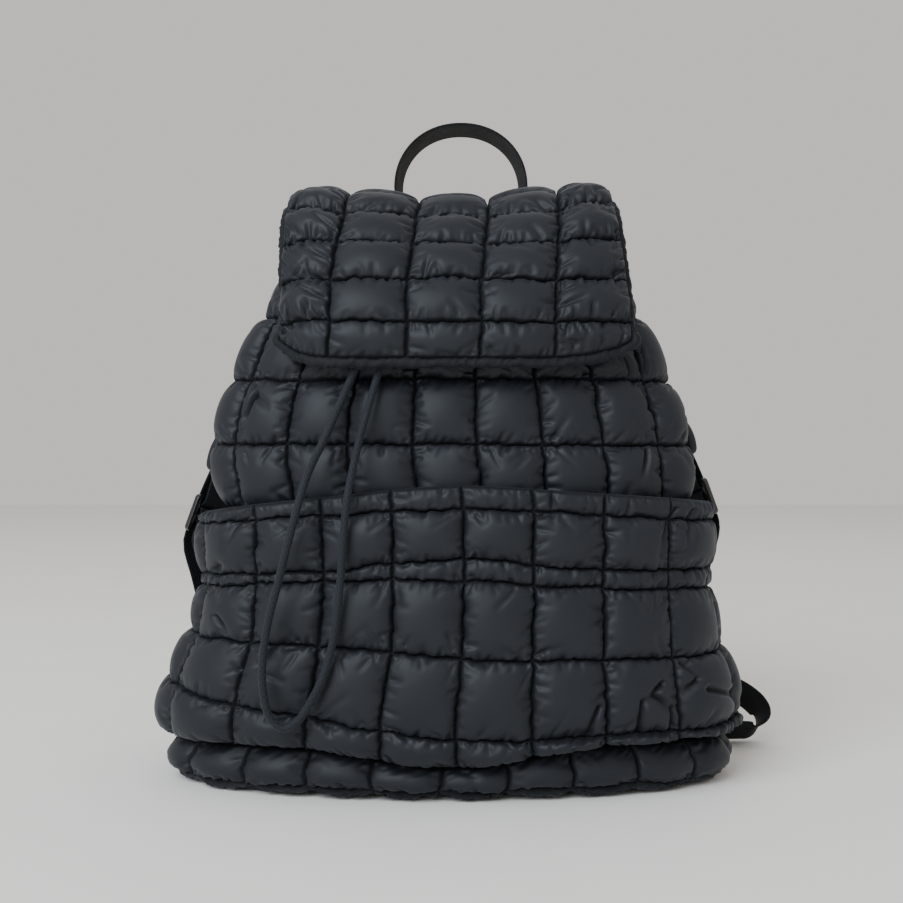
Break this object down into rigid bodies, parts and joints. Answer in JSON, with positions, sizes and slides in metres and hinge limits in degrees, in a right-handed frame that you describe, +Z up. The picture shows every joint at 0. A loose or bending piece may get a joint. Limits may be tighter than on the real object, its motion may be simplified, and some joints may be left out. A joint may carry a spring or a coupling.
{
  "type": "quilted drawstring backpack",
  "caption": "Padded backpack in square quilting, with a fold-over flap, drawstring neck, elastic front pocket and adjustable shoulder straps.",
  "frame": {"origin": "a point on the underside of the base, at the middle of the bag's width and depth, on the ground", "axes": "+Z up, -Y towards the front with the pocket, +X to the right seen from the front"},
  "size_m": [0.4092, 0.2028, 0.4333],
  "materials": {
    "nylon": "satin",
    "webbing": "woven",
    "cord": "braided",
    "plastic": "moulded"
  },
  "bodies": {
    "root": {"base_panel": "nylon", "front_panel": "nylon", "back_panel": "nylon", "neck_gather": "nylon", "pocket_panel": "nylon", "flap": "nylon", "flap_piping": "nylon", "top_handle": "webbing", "drawstring": "cord", "shoulder_strap_left": "nylon", "strap_loop_left": "webbing", "ladder_lock_left": "plastic", "lower_webbing_left": "webbing", "shoulder_strap_right": "nylon", "strap_loop_right": "webbing", "ladder_lock_right": "plastic", "lower_webbing_right": "webbing"}
  },
  "joints": []
}
